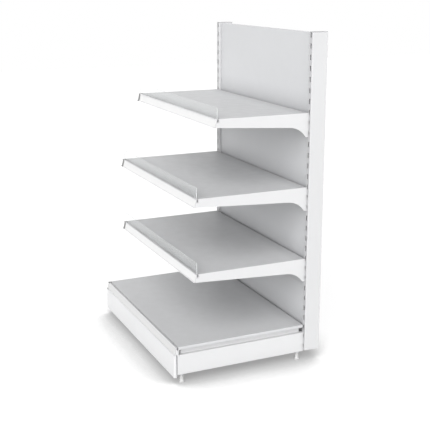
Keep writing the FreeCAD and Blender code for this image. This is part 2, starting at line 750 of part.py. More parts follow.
# Shelf brackets: tapered plates with a nose behind the rail's label holder, a swoop at the root,
# two hooks behind and a ledge for the tray
def bracket(prefix, top, reach):
    body = new_body(f"{prefix}_bracket_body", (plate_x, face_y, top))
    rear = -s.hook_gap
    front = -(reach - s.hook_gap)
    upper_slot = -s.shelf_rise
    root = s.shelf_rise + s.slot_pitch + s.slot_height / 2 + s.bracket_margin
    tip = nose(reach, 0, s.bracket_front)
    profile = [(rear, 0), (front, 0), (front, -nose_depth), *tip, (-s.swoop_setback, -s.bracket_middle),
               (-s.bracket_foot, -root), (rear, -root)]
    profile += hook(upper_slot - s.slot_pitch, rear) + hook(upper_slot, rear)
    plate = pad(body, outline(body, f"{prefix}_bracket_outline", "YZ_Plane", [profile]), s.plate_thickness)

    def swoop_corner(edge):
        spot = edge.Vertexes[0].Point
        off_y = abs(spot.y + s.swoop_setback.value)
        off_z = abs(spot.z + s.bracket_middle.value)
        return runs_along(edge, "x") and max(off_y, off_z) < CLOSE

    # The swoop is an arc between the long lower edge and the root's edge, no longer than the root's edge
    arm_run = -tip[1][0] - s.swoop_setback
    arm_fall = s.bracket_middle - s.bracket_front
    root_run = s.swoop_setback - s.bracket_foot
    root_fall = root - s.bracket_middle
    root_edge = distance(root_run, root_fall)
    along = distance(arm_run, arm_fall) * root_edge + arm_run * root_run + arm_fall * root_fall
    across = arm_run * root_fall - root_run * arm_fall
    widest = MOST_OF_AN_EDGE * root_edge * along / across
    rounded(body, plate, f"{prefix}_swoop", smaller(s.swoop_radius, widest), swoop_corner)

    ledge_top = -(s.tray_skirt + s.seat_gap)
    ledge = rectangle((front + s.ledge_end_gap, ledge_top - s.ledge_thickness),
                      (rear - s.ledge_end_gap, ledge_top))
    pad(body, outline(body, f"{prefix}_ledge", "YZ_Plane", [ledge]), s.plate_thickness + s.ledge_width)
    return body


# Base deck: the lowest, deepest tray, lying on the legs
tray("base_deck", deck_top, s.deck_reach, half_rail, s.deck_skirt,
     half_rail - s.leg_joggle - s.plate_thickness - s.tray_side_gap)
price_rail("base", deck_top, s.deck_reach, 0)

# Three shelves, each on its own pair of brackets
half_tray = half_rail - s.plate_thickness - s.tray_side_gap
half_stiffener = half_tray - s.tray_sheet - s.tray_side_gap
shelves = {
    "upper": (s.upper_shelf_slot, s.upper_shelf_reach),
    "middle": (s.middle_shelf_slot, s.middle_shelf_reach),
    "lower": (s.lower_shelf_slot, s.lower_shelf_reach),
}
for level, (slot, reach) in shelves.items():
    shelf_top = slot_z(slot) + s.shelf_rise
    pair(f"{level}_bracket", bracket(level, shelf_top, reach))
    tray(f"{level}_shelf", shelf_top, reach, half_tray, s.tray_skirt, half_stiffener)
    price_rail(level, shelf_top, reach, s.label_bare_end)
    fence(level, shelf_top, reach)

doc.recompute()
for thing in doc.Objects:
    if {"Invalid", "Error"} & set(thing.State):
        raise RuntimeError(f"{thing.Label} failed: {thing.State}")
for sub_part in nodes:
    if sub_part.Shape.isNull() or not sub_part.Shape.isValid():
        raise RuntimeError(f"{sub_part.Label} has no valid shape")

os.makedirs("parts", exist_ok=True)
for sub_part in nodes:
    sub_part.Shape.exportStep(f"parts/{sub_part.Label}.step")
    extent = sub_part.Shape.BoundBox
    print(f"{sub_part.Label:26s} solids {len(sub_part.Shape.Solids)}  volume {sub_part.Shape.Volume:11.1f}"
          f"  x {extent.XMin:8.2f} {extent.XMax:8.2f}  y {extent.YMin:8.2f} {extent.YMax:8.2f}"
          f"  z {extent.ZMin:8.2f} {extent.ZMax:8.2f}")
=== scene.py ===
import math

import bmesh
import bpy
import numpy as np
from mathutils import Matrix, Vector


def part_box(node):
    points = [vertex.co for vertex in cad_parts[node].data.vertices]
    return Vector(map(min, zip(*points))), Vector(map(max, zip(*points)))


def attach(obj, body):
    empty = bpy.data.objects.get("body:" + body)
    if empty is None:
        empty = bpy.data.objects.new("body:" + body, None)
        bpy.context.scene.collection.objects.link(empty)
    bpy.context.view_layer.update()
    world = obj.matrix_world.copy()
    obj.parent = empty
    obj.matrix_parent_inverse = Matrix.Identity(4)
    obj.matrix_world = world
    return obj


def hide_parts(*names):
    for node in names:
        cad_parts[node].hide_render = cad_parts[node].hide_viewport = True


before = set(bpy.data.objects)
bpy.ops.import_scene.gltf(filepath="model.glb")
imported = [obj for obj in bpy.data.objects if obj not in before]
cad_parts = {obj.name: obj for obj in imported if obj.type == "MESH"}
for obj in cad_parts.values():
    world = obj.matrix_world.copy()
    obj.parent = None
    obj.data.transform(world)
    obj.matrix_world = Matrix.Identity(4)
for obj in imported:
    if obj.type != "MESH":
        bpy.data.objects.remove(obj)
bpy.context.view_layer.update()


# Uprights: rectangular steel tubes with a column of slots punched down the front.
# They are powder coated after punching, so the slots' edges are white too; shade is painted on the fronts in
# grey streaks.
# Lengths, here and below, are in metres, and a pair of numbers is the start and the end of a range.
SIDES = ("left", "right")
UPRIGHT_WHITE = (0.595, 0.597, 0.603, 1.0)
# Painted shade for the uprights' fronts.
FRONT_SHADE_GREY = (0.36, 0.36, 0.37, 1.0)
DUST_GREY = (0.5, 0.49, 0.47, 1.0)
# Painted shade for corners.
CORNER_SHADE_GREY = (0.24, 0.24, 0.25, 1.0)
MOST_NOISE = (0.3, 0.7)  # values that soft noise seldom leaves
DRIFT_SIZE = 0.22
HANDLING_SIZE = 0.045
HANDLING_NOISE = (0.25, 0.75)
COAT_ROUGHNESS = (0.36, 0.48)
PEEL_SIZE = 0.0022
PEEL_HEIGHT = 0.000006
WAVE_SIZE = 0.26
DUSTY_SLOPE = (0.7, 1.0)  # n_z, from dustless to dusty
CORNER_REACH = 0.1  # how near another face has to be to count as a corner
CORNER_RAYS = 4
CORNER_OPENNESS = (0.35, 0.95)  # from a deep corner to an open face
SHADED_SLOPE = (-0.7, -0.95)  # n_y, from unshaded to painted shade
FRONT_SHADE = (0.4, 0.75)  # least and most share of grey
STREAK_SIZE = 0.004
STREAK_STRETCH = (1.0, 1.0, 0.06)


def feed(tree, node, inputs):
    """Fills a node's inputs with values, or with links from other nodes."""
    for name, value in inputs.items():
        if isinstance(value, bpy.types.NodeSocket):
            tree.links.new(value, node.inputs[name])
        else:
            node.inputs[name].default_value = value


def put(tree, kind, inputs=None, **settings):
    """Adds a node to a tree, sets its properties and fills its inputs."""
    node = tree.nodes.new(kind)
    for name, value in settings.items():
        setattr(node, name, value)
    feed(tree, node, inputs or {})
    return node


def maths(tree, operation, one, other):
    return put(tree, "ShaderNodeMath", {0: one, 1: other}, operation=operation).outputs[0]


def spread(tree, value, onto, over=(0.0, 1.0)):
    """Maps a value that runs over one range onto another range."""
    inputs = {"Value": value, "From Min": over[0], "From Max": over[1], "To Min": onto[0], "To Max": onto[1]}
    return put(tree, "ShaderNodeMapRange", inputs).outputs[0]


def noise(tree, place, size, detail=2.0):
    """Soft noise from 0 to 1 whose lumps are about as wide as size."""
    inputs = {"Vector": place, "Scale": 1 / size, "Detail": detail}
    return put(tree, "ShaderNodeTexNoise", inputs).outputs[0]


def toned(tree, color, tone):
    return put(tree, "ShaderNodeVectorMath", {0: color, 1: tone}, operation="MULTIPLY").outputs[0]


def blend(tree, share, color, other):
    """Goes from one colour to another; a Mix node's colour sockets are inputs 6 and 7 and output 2."""
    return put(tree, "ShaderNodeMix", {0: share, 6: color, 7: other}, data_type="RGBA").outputs[2]


def part(tree, vector, axis):
    return put(tree, "ShaderNodeSeparateXYZ", {"Vector": vector}).outputs[axis]


def coordinates(tree):
    """Sockets for the place on a piece, Object, and for the way its surface faces, Normal."""
    return put(tree, "ShaderNodeTexCoord").outputs


def effect(name, inputs, outputs):
    """Starts a shader node group and gives its tree, its input sockets and its output node."""
    group = bpy.data.node_groups.new(name, "ShaderNodeTree")
    for direction, sockets in (("INPUT", inputs), ("OUTPUT", outputs)):
        for socket, kind in sockets.items():
            group.interface.new_socket(socket, in_out=direction, socket_type=kind)
    return group, group.nodes.new("NodeGroupInput").outputs, group.nodes.new("NodeGroupOutput")


def powder_coat_effect():
    """A baked powder skin: a drifting tone, orange peel, a slow wave, settled dust, and shade painted into
    corners.
    """
    amounts = dict.fromkeys(("Drift", "Wave Height", "Dust", "Painted Shade"), "NodeSocketFloat")
    results = dict.fromkeys(("Roughness", "Height"), "NodeSocketFloat")
    group, given, out = effect("powder_coat", {"Color": "NodeSocketColor", **amounts},
                               {"Color": "NodeSocketColor", **results})
    surface = coordinates(group)
    place = surface["Object"]
    drift = noise(group, place, DRIFT_SIZE, detail=3.0)
    handling = noise(group, place, HANDLING_SIZE, detail=4.0)
    peel = noise(group, place, PEEL_SIZE, detail=1.0)
    wave = noise(group, place, WAVE_SIZE, detail=0.0)
    darkest = maths(group, "SUBTRACT", 1.0, given["Drift"])
    clean = toned(group, given["Color"], spread(group, drift, (darkest, 1.0), MOST_NOISE))
    upward = spread(group, part(group, surface["Normal"], "Z"), (0.0, 1.0), DUSTY_SLOPE)
    dust = maths(group, "MULTIPLY", maths(group, "MULTIPLY", upward, handling), given["Dust"])
    dusty = blend(group, dust, clean, DUST_GREY)
    # Painted shade: the coat is greyed where ambient occlusion finds another face near.
    occlusion = put(group, "ShaderNodeAmbientOcclusion", {"Distance": CORNER_REACH}, samples=CORNER_RAYS)
    closed_in = spread(group, occlusion.outputs["AO"], (1.0, 0.0), CORNER_OPENNESS)
    shaded = blend(group, maths(group, "MULTIPLY", closed_in, given["Painted Shade"]), dusty, CORNER_SHADE_GREY)
    rough = spread(group, handling, COAT_ROUGHNESS, HANDLING_NOISE)
    peel_height = maths(group, "MULTIPLY", peel, PEEL_HEIGHT)
    wave_height = maths(group, "MULTIPLY", wave, given["Wave Height"])
    feed(group, out, {"Color": shaded, "Roughness": maths(group, "ADD", rough, dust),
                      "Height": maths(group, "ADD", peel_height, wave_height)})
    return group


powder_coat = powder_coat_effect()


def new_material(name):
    """An empty node material: its tree, and its Principled shader already wired to the output."""
    material = bpy.data.materials.new(name)
    material.use_nodes = True
    tree = material.node_tree
    tree.nodes.clear()
    shader = tree.nodes.new("ShaderNodeBsdfPrincipled")
    put(tree, "ShaderNodeOutputMaterial", {"Surface": shader.outputs[0]})
    return material, tree, shader


def relief(tree, shader, height):
    """Feeds a height to the shader's normal; the distance of 1 keeps it in metres."""
    bump = put(tree, "ShaderNodeBump", {"Height": height, "Distance": 1.0})
    feed(tree, shader, {"Normal": bump.outputs[0]})


def coated_steel(name, color, drift, wave_height, dust, painted_shade):
    """Powder coat of one colour, with its own amount of each flaw and of painted corner shade."""
    material, tree, shader = new_material(name)
    amounts = {"Color": color, "Drift": drift, "Wave Height": wave_height, "Dust": dust, "Painted Shade": painted_shade}
    coat = put(tree, "ShaderNodeGroup", amounts, node_tree=powder_coat).outputs
    feed(tree, shader, {"Base Color": coat["Color"], "Roughness": coat["Roughness"]})
    relief(tree, shader, coat["Height"])
    return material


def dress(material, *names):
    """Gives a finish to CAD pieces that keep their shape."""
    for name in names:
        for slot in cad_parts[name].material_slots:
            slot.material = material


def shade_front(material, grey):
    """Paints shade onto a coat, in grey upright streaks, on faces that look forward, n_y near -1."""
    tree = material.node_tree
    shader = tree.nodes["Principled BSDF"]
    coat = shader.inputs["Base Color"].links[0].from_socket
    surface = coordinates(tree)
    forward = spread(tree, part(tree, surface["Normal"], "Y"), (0.0, 1.0), SHADED_SLOPE)
    drawn = put(tree, "ShaderNodeMapping", {"Vector": surface["Object"], "Scale": STREAK_STRETCH})
    streak = spread(tree, noise(tree, drawn.outputs[0], STREAK_SIZE, detail=3.0), FRONT_SHADE, MOST_NOISE)
    feed(tree, shader, {"Base Color": blend(tree, maths(tree, "MULTIPLY", forward, streak), coat, grey)})


upright_coat = coated_steel("upright_coat", UPRIGHT_WHITE, drift=0.02, wave_height=0.0, dust=0.1, painted_shade=0.2)
shade_front(upright_coat, FRONT_SHADE_GREY)
dress(upright_coat, *[f"upright_{side}" for side in SIDES])


# Upright caps: lids moulded in grey plastic, pushed into the tubes' mouths.
# Their skin has the fine spark-eroded grain of the mould.
CAP_GREY = (0.4, 0.4, 0.41)
MOULD_MOTTLE_SIZE = 0.012
MOULD_TONE = (0.93, 1.04)
MOULD_GLOSS_SWING = 0.08  # roughness to either side of its mean


def moulded(name, color, grain_size, grain_height, roughness):
    material, tree, shader = new_material(name)
    place = coordinates(tree)["Object"]
    grain = noise(tree, place, grain_size)
    tone = spread(tree, noise(tree, place, MOULD_MOTTLE_SIZE, detail=3.0), MOULD_TONE)
    gloss = (roughness - MOULD_GLOSS_SWING, roughness + MOULD_GLOSS_SWING)
    feed(tree, shader, {"Base Color": toned(tree, color, tone), "Roughness": spread(tree, grain, gloss)})
    relief(tree, shader, maths(tree, "MULTIPLY", grain, grain_height))
    return material


cap_plastic = moulded("cap_plastic", CAP_GREY, grain_size=0.0009, grain_height=0.00002, roughness=0.5)
dress(cap_plastic, *[f"upright_cap_{side}" for side in SIDES])


# Back: shallow trays folded from thin sheet, stacked between the uprights, with tie tubes behind them.
# Thin sheet is never quite flat, so its coat carries a slow wave; its white is painted a shade greyer than
# the tubes', as shade in the bays.
PANEL_COUNT = 4
SHADED_PANEL_WHITE = (0.53, 0.535, 0.545, 1.0)
COAT_WHITE = (0.63, 0.632, 0.638, 1.0)
shaded_sheet_coat = coated_steel("shaded_sheet_coat", SHADED_PANEL_WHITE, drift=0.025, wave_height=0.0003, dust=0.1, painted_shade=0.6)
tube_coat = coated_steel("tube_coat", COAT_WHITE, drift=0.02, wave_height=0.0, dust=0.1, painted_shade=0.2)
dress(shaded_sheet_coat, *[f"back_panel_{count + 1}" for count in range(PANEL_COUNT)])
dress(tube_coat, *[f"tie_rail_{level}" for level in ("top", "middle", "bottom")])


# Base: two folded legs hooked into the uprights, and a kick plate sprung over clips on their front.
# All three are powder coated like the uprights; the kick plate's coat is painted a shade lighter, as light
# on the front.
LIT_KICK_WHITE = (0.68, 0.682, 0.688, 1.0)
plate_coat = coated_steel("plate_coat", COAT_WHITE, drift=0.02, wave_height=0.0, dust=0.12, painted_shade=0.2)
lit_kick_coat = coated_steel("lit_kick_coat", LIT_KICK_WHITE, drift=0.02, wave_height=0.0, dust=0.12, painted_shade=0.2)
dress(plate_coat, *[f"base_leg_{side}" for side in SIDES])
dress(lit_kick_coat, "kick_plate")


# Kick clips: bent straps of bright zinc-plated steel on the legs' fronts.
# The plating shows fine spangles and a slight blue cast.
ZINC_DARK = (0.56, 0.58, 0.61, 1.0)
ZINC_LIGHT = (0.68, 0.69, 0.7, 1.0)
ZINC_ROUGHNESS = (0.26, 0.42)
SPANGLES_PER_METRE = 450.0
PLATING_SIZE = 0.0012
PLATING_HEIGHT = 0.000008


def zinc_plated(name):
    material, tree, shader = new_material(name)
    place = coordinates(tree)["Object"]
    cells = put(tree, "ShaderNodeTexVoronoi", {"Vector": place, "Scale": SPANGLES_PER_METRE})
    spangle = put(tree, "ShaderNodeSeparateColor", {"Color": cells.outputs["Color"]}).outputs["Red"]
    feed(tree, shader, {"Base Color": blend(tree, spangle, ZINC_DARK, ZINC_LIGHT), "Metallic": 1.0,
                        "Roughness": spread(tree, spangle, ZINC_ROUGHNESS)})
    relief(tree, shader, maths(tree, "MULTIPLY", noise(tree, place, PLATING_SIZE), PLATING_HEIGHT))
    return material


zinc = zinc_plated("zinc_plate")
dress(zinc, *[f"kick_clip_{side}" for side in SIDES])


# Clip screws: pan-head screws with a cross recess, four in all, through the clips into the legs' fronts.
# Each is a turned shape whose domed head is sunk along two crossing arms.
SCREW_HEAD = 0.0045
SCREW_SHANK = 0.0025
SCREW_HEAD_HEIGHT = 0.003
SCREW_DOME = 0.0009
CROWN = 0.9  # share of the head's radius that is domed
CROWN_RINGS = 22
SCREW_POINTS = 64
POINT_CHAMFER = 0.0005
RECESS_DEPTH = 0.0016
RECESS_REACH = 0.0026
RECESS_HALF_WIDTH = 0.0006
RECESS_EDGE = 0.0002
SAME_PLACE = 1e-7  # points nearer than this are one point
SHARP_ANGLE = math.radians(32)


def around(count):
    """Angles of evenly spaced points round an axis."""
    return np.arange(count) * (2 * math.pi / count)


def build_piece(name, shells, material, body, node):
    """A piece from shells of rings of points: ring k is joined to ring k + 1 all the way round.

    A shell is closed where its end rings shrink to a point or where the last ring repeats the first.
    """
    corners = []
    faces = []
    start = 0
    for rings in shells:
        index = start + np.arange(rings.shape[0] * rings.shape[1]).reshape(rings.shape[:2])
        turned_index = np.roll(index, -1, axis=1)
        quads = np.stack([index[:-1], turned_index[:-1], turned_index[1:], index[1:]], axis=-1)
        corners.append(rings.reshape(-1, 3))
        faces.append(quads.reshape(-1, 4))
        start += index.size
    mesh = bpy.data.meshes.new(name)
    mesh.from_pydata(np.concatenate(corners).tolist(), [], np.concatenate(faces).tolist())
    work = bmesh.new()
    work.from_mesh(mesh)
    bmesh.ops.remove_doubles(work, verts=work.verts, dist=SAME_PLACE)
    bmesh.ops.recalc_face_normals(work, faces=work.faces)
    work.to_mesh(mesh)
    work.free()
    mesh.shade_smooth()
    mesh.set_sharp_from_angle(angle=SHARP_ANGLE)
    mesh.materials.append(material)
    piece = bpy.data.objects.new(name, mesh)
    bpy.context.scene.collection.objects.link(piece)
    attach(piece, body)
    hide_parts(node)
    return mesh


def clip_screw(x, front, back, z):
    """Head D (r/R)^2 deep, and S min(1, 2 - 2 r/L) deeper where min(|r cos a|, |r sin a|) < W.

    R is the head's radius and D its dome's height.
    S is the recess's depth, L the length of its arms and W half their width.
    """
    angle = around(SCREW_POINTS)
    crown = np.linspace(0.0, CROWN * SCREW_HEAD, CROWN_RINGS)
    seat = front + SCREW_HEAD_HEIGHT
    side = np.array([(SCREW_HEAD, front + 2 * SCREW_DOME), (SCREW_HEAD, seat), (SCREW_SHANK, seat),
                     (SCREW_SHANK, back - POINT_CHAMFER), (SCREW_SHANK - POINT_CHAMFER, back), (0.0, back)])
    radius = np.concatenate([crown, side[:, 0]])[:, None]
    along = np.concatenate([front + SCREW_DOME * (crown / SCREW_HEAD) ** 2, side[:, 1]])[:, None]
    offset = np.minimum(np.abs(radius * np.cos(angle)), np.abs(radius * np.sin(angle)))
    arm = np.clip((RECESS_HALF_WIDTH - offset) / RECESS_EDGE, 0.0, 1.0) * (along < front + SCREW_DOME)
    sunk = RECESS_DEPTH * arm * np.clip(2 * (1 - radius / RECESS_REACH), 0.0, 1.0)
    return np.stack([x + radius * np.cos(angle), along + sunk, z + radius * np.sin(angle)], axis=-1)


def clip_screws():
    low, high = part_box("clip_screws")
    places = [(x, z) for x in (low[0] + SCREW_HEAD, high[0] - SCREW_HEAD)
              for z in (low[2] + SCREW_HEAD, high[2] - SCREW_HEAD)]
    shells = [clip_screw(x, low[1], high[1], z) for x, z in places]
    build_piece("clip_screw_set", shells, zinc, "frame", "clip_screws")


clip_screws()


# Levelling feet: a ribbed moulded foot on a threaded zinc-plated screw, at each end of each leg.
# A chamfered hexagon nut under the leg carries the screw, which has a driver's slot in its upper end.
CORNERS = [f"{end}_{side}" for end in ("front", "rear") for side in SIDES]
SCREW_RADIUS = 0.005
BORE_GAP = 0.00005
THREAD_PITCH = 0.0015
THREAD_DEPTH = 0.0009
STEPS_PER_TURN = 8
THREAD_POINTS = 36
DRIVER_SLOT = 0.002
CHEEK_STEPS = 12
NUT_ACROSS = 0.017
NUT_FACE = 0.97  # share of the nut's width that its end faces keep
NUT_CHAMFER = math.radians(30)
NUT_CHAMFER_DEPTH = 0.0012
CHAMFER_RINGS = 5
NUT_POINTS = 96
FOOT_GREY = (0.5, 0.5, 0.5)
FOOT_BASE_RADIUS = 0.013
FOOT_BASE_HEIGHT = 0.008
FOOT_EDGE = 0.0015
EDGE_RINGS = 5
FOOT_CONE_HEIGHT = 0.005
FOOT_STEM = 0.009
FOOT_EASE = 0.001  # bevel at the stem's ends
SOCKET_BOTTOM = 0.01  # above the floor
FOOT_RIBS = 20
POINTS_PER_RIB = 8
RIB_DEPTH = 0.0006


def lathe(x, y, angle, radius, height):
    """Rings (x + r cos a, y + r sin a, h), with r given for each ring and angle and h for each ring."""
    height = np.broadcast_to(height, radius.shape)
    return np.stack([x + radius * np.cos(angle), y + radius * np.sin(angle), height], axis=-1)


def middle(node):
    low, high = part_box(node)
    return (low[0] + high[0]) / 2, (low[1] + high[1]) / 2


def hexagon_nut(x, y, bottom, top):
    """Side r = min(hexagon w / 2 cos((a mod 60) - 30), cone k w / 2 + d / tan c), d from the nearer end."""
    angle = around(NUT_POINTS)
    half = NUT_ACROSS / 2
    hexagon = half / np.cos(np.mod(angle, math.pi / 3) - math.pi / 6)
    depth = np.linspace(0.0, NUT_CHAMFER_DEPTH, CHAMFER_RINGS)[:, None]
    chamfer = np.minimum(hexagon, NUT_FACE * half + depth / math.tan(NUT_CHAMFER))
    side = np.concatenate([chamfer, chamfer[::-1]])
    rise = np.concatenate([bottom + depth, top - depth[::-1]])
    bore = np.full((1, angle.size), SCREW_RADIUS + BORE_GAP)
    radius = np.concatenate([bore, side, bore, bore])
    height = np.concatenate([[[bottom]], rise, [[top]], [[bottom]]])
    return lathe(x, y, angle, radius, height)


def threaded_rod(x, y, bottom, top):
    """r = min(R - t |1 - 2 frac(z / p - a / 2 pi)|, R - t + d), d from the nearer end, and flat ends."""
    angle = around(THREAD_POINTS)
    count = int((top - bottom) / THREAD_PITCH * STEPS_PER_TURN)
    height = np.linspace(bottom, top, count)[:, None]
    turn = np.mod(height / THREAD_PITCH - angle / (2 * math.pi), 1.0)
    thread = SCREW_RADIUS - THREAD_DEPTH * np.abs(1 - 2 * turn)
    nearer_end = np.minimum(height - bottom, top - height)
    radius = np.minimum(thread, SCREW_RADIUS - THREAD_DEPTH + nearer_end)
    closed = np.zeros((1, angle.size))
    radius = np.concatenate([closed, radius, closed])
    height = np.concatenate([[[bottom]], height, [[top]]])
    return lathe(x, y, angle, radius, height)


def slot_cheek(x, y, side, bottom, top):
    """Half of the screw's end beside the driver's slot: |u| < sqrt(R^2 - v^2), v from w / 2 to R."""
    reach = SCREW_RADIUS - THREAD_DEPTH
    wall = DRIVER_SLOT / 2
    away = np.concatenate([[wall], np.linspace(wall, reach, CHEEK_STEPS)])[:, None]
    half = np.sqrt(np.maximum(reach ** 2 - away ** 2, 0.0))
    half[0] = 0.0
    across = np.array([-1.0, 1.0, 1.0, -1.0]) * half
    height = np.where(half > 0, [top, top, bottom, bottom], (top + bottom) / 2)
    return np.stack([x + across, y + side * away + 0 * across, height], axis=-1)


def ribbed_foot(x, y, bottom, top):
    """Turned base, cone and stem with a socket down the middle; the stem has r = R - d (1 - cos n a) / 2.

    Each ring of the profile is its radius, its height, and 1 where the ribs are cut or 0 elsewhere.
    """
    angle = around(FOOT_RIBS * POINTS_PER_RIB)
    base = bottom + FOOT_BASE_HEIGHT
    edge_middle = FOOT_BASE_RADIUS - FOOT_EDGE
    bend = np.linspace(0.0, math.pi / 2, EDGE_RINGS)
    lower = np.stack([edge_middle + FOOT_EDGE * np.sin(bend), bottom + FOOT_EDGE - FOOT_EDGE * np.cos(bend),
                      0 * bend], axis=-1)
    upper = np.stack([edge_middle + FOOT_EDGE * np.cos(bend), base - FOOT_EDGE + FOOT_EDGE * np.sin(bend),
                      0 * bend], axis=-1)
    stem_low = base + FOOT_CONE_HEIGHT
    ease = FOOT_EASE
    thick = FOOT_STEM
    stem = [(thick + ease, stem_low - ease, 0), (thick, stem_low + ease, 0), (thick, stem_low + 2 * ease, 1),
            (thick, top - 2 * ease, 1), (thick, top - ease, 0), (thick - ease, top, 0)]
    bore = SCREW_RADIUS + BORE_GAP
    floor = bottom + SOCKET_BOTTOM
    socket = [(bore, top, 0), (bore, floor, 0), (0.0, floor, 0)]
    profile = np.concatenate([[(0.0, bottom, 0)], lower, upper, stem, socket])
    radius, height, ribbed = profile.T[:, :, None]
    ribs = RIB_DEPTH * (1 - np.cos(FOOT_RIBS * angle)) / 2
    return lathe(x, y, angle, radius - ribbed * ribs, height)


def levelling_feet(plastic):
    low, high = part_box("foot_nuts")
    nuts = [hexagon_nut(*middle(f"foot_{corner}"), low[2], high[2]) for corner in CORNERS]
    build_piece("foot_nut_set", nuts, zinc, "frame", "foot_nuts")
    for corner in CORNERS:
        x, y = middle(f"foot_{corner}")
        low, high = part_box(f"foot_{corner}")
        build_piece(f"ribbed_foot_{corner}", [ribbed_foot(x, y, low[2], high[2])], plastic,
                    f"{corner}_foot", f"foot_{corner}")
        low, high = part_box(f"foot_screw_{corner}")
        shoulder = high[2] - DRIVER_SLOT
        shells = [threaded_rod(x, y, low[2], shoulder)]
        shells += [slot_cheek(x, y, side, shoulder - THREAD_DEPTH, high[2]) for side in (-1, 1)]
        build_piece(f"threaded_screw_{corner}", shells, zinc, f"{corner}_screw",
                    f"foot_screw_{corner}")


foot_plastic = moulded("foot_plastic", FOOT_GREY, grain_size=0.0012, grain_height=0.00002, roughness=0.45)
levelling_feet(foot_plastic)


# Deck and shelves: trays folded from sheet, each with a channel welded below.
# Brackets of coated plate carry the shelves, and the deck lies on the legs. Their tops gather a little dust.
LEVELS = ("upper", "middle", "lower")
# The trays' white is painted greyer than the brackets', as shade in the bays.
SHADED_TRAY_WHITE = (0.55, 0.555, 0.565, 1.0)
shaded_tray_coat = coated_steel("shaded_tray_coat", SHADED_TRAY_WHITE, drift=0.03, wave_height=0.0002, dust=0.16, painted_shade=0.6)
dress(shaded_tray_coat, "base_deck", "base_deck_stiffener")
dress(shaded_tray_coat, *[f"{level}_shelf{piece}" for level in LEVELS for piece in ("", "_stiffener")])
dress(plate_coat, *[f"{level}_bracket_{side}" for level in LEVELS for side in SIDES])


# Price rails: plastic extrusions pressed on the front edges, grey on top and paler round the label.
# The die leaves fine lines along their length.
# Shade is painted dark on their left ends, which the shelves' labels leave bare.
RAILS = ("base",) + LEVELS
RAIL_TOP = (0.5, 0.5, 0.51, 1.0)
RAIL_FRONT = (0.62, 0.62, 0.63, 1.0)
RAIL_END_SHADE = (0.16, 0.16, 0.16, 1.0)
RAIL_ROUGHNESS = (0.26, 0.4)
RAIL_TONE = (0.93, 1.05)
RAIL_MOTTLE_SIZE = 0.06
TOP_SLOPE = (0.8, 0.95)  # n_z, from the front's grey to the top's
BARE_END = -0.472  # x near which a shelf's label begins
BARE_END_FADE = 0.006
DIE_LINE_SIZE = 0.0011
DIE_LINE_STRETCH = (0.002, 1.0, 1.0)
DIE_LINE_HEIGHT = 0.00001
TWO_NOISES = (0.0, 2.0)  # values of two noises added


def extruded(name):
    material, tree, shader = new_material(name)
    surface = coordinates(tree)
    place = surface["Object"]
    drawn = put(tree, "ShaderNodeMapping", {"Vector": place, "Scale": DIE_LINE_STRETCH}).outputs[0]
    line = noise(tree, drawn, DIE_LINE_SIZE, detail=3.0)
    mottle = maths(tree, "ADD", line, noise(tree, place, RAIL_MOTTLE_SIZE))
    upward = spread(tree, part(tree, surface["Normal"], "Z"), (0.0, 1.0), TOP_SLOPE)
    clean = blend(tree, upward, RAIL_FRONT, RAIL_TOP)
    # Painted shade: the bare left ends are painted dark.
    painted_shade = spread(tree, part(tree, place, "X"), (1.0, 0.0), (BARE_END - BARE_END_FADE, BARE_END))
    shaded = blend(tree, painted_shade, clean, RAIL_END_SHADE)
    feed(tree, shader, {"Base Color": toned(tree, shaded, spread(tree, mottle, RAIL_TONE, TWO_NOISES)),
                        "Roughness": spread(tree, line, RAIL_ROUGHNESS)})
    relief(tree, shader, maths(tree, "MULTIPLY", line, DIE_LINE_HEIGHT))
    return material


rail_plastic = extruded("rail_plastic")
dress(rail_plastic, *[f"{rail}_price_rail" for rail in RAILS])


# Label strips: plain white card slid into the price rails.
# The card has a faint fibre and no print; the base's strip is painted greyer, as the shade under the
# shelves.
CARD_WHITE = (0.68, 0.68, 0.68)
SHADED_CARD_WHITE = (0.58, 0.58, 0.58)
CARD_ROUGHNESS = (0.6, 0.75)
CARD_TONE = (0.95, 1.03)
CARD_MOTTLE_SIZE = 0.02
FIBRE_SIZE = 0.0016
FIBRE_HEIGHT = 0.000012


def card(name, color):
    material, tree, shader = new_material(name)
    place = coordinates(tree)["Object"]
    fibre = noise(tree, place, FIBRE_SIZE, detail=4.0)
    mottle = maths(tree, "ADD", fibre, noise(tree, place, CARD_MOTTLE_SIZE))
    feed(tree, shader, {"Base Color": toned(tree, color, spread(tree, mottle, CARD_TONE, TWO_NOISES)),
                        "Roughness": spread(tree, fibre, CARD_ROUGHNESS)})
    relief(tree, shader, maths(tree, "MULTIPLY", fibre, FIBRE_HEIGHT))
    return material


label_card = card("label_card", CARD_WHITE)
shaded_card = card("shaded_card", SHADED_CARD_WHITE)
dress(label_card, *[f"{level}_label_strip" for level in LEVELS])
dress(shaded_card, "base_label_strip")


# Fences: clear acrylic sheets that drop into the rails' channels and stop goods sliding off.
# Their corners are rounded, their faces are polished and their sawn edges are left frosted.
# Their index is lower than acrylic's 1.49, so that they show as faintly as in the picture.
SHEET_TINT = (0.97, 0.98, 0.98, 1.0)
SHEET_INDEX = 1.3
SMUDGE_SIZE = 0.05
SMUDGE_NOISE = (0.45, 0.75)  # from clean to smudged
SMUDGE_ROUGHNESS = (0.01, 0.05)
RIPPLE_SIZE = 0.09
RIPPLE_HEIGHT = 0.00004
SAWN_WHITE = (0.7, 0.715, 0.72)
FENCE_CORNER = 0.008
FENCE_FOOT_CORNER = 0.002
CORNER_POINTS = 9
FENCE_RIM = 0.0006
RIM_RINGS = 4
POLISHED_SLOPE = 0.9  # least |n_y| of a polished face


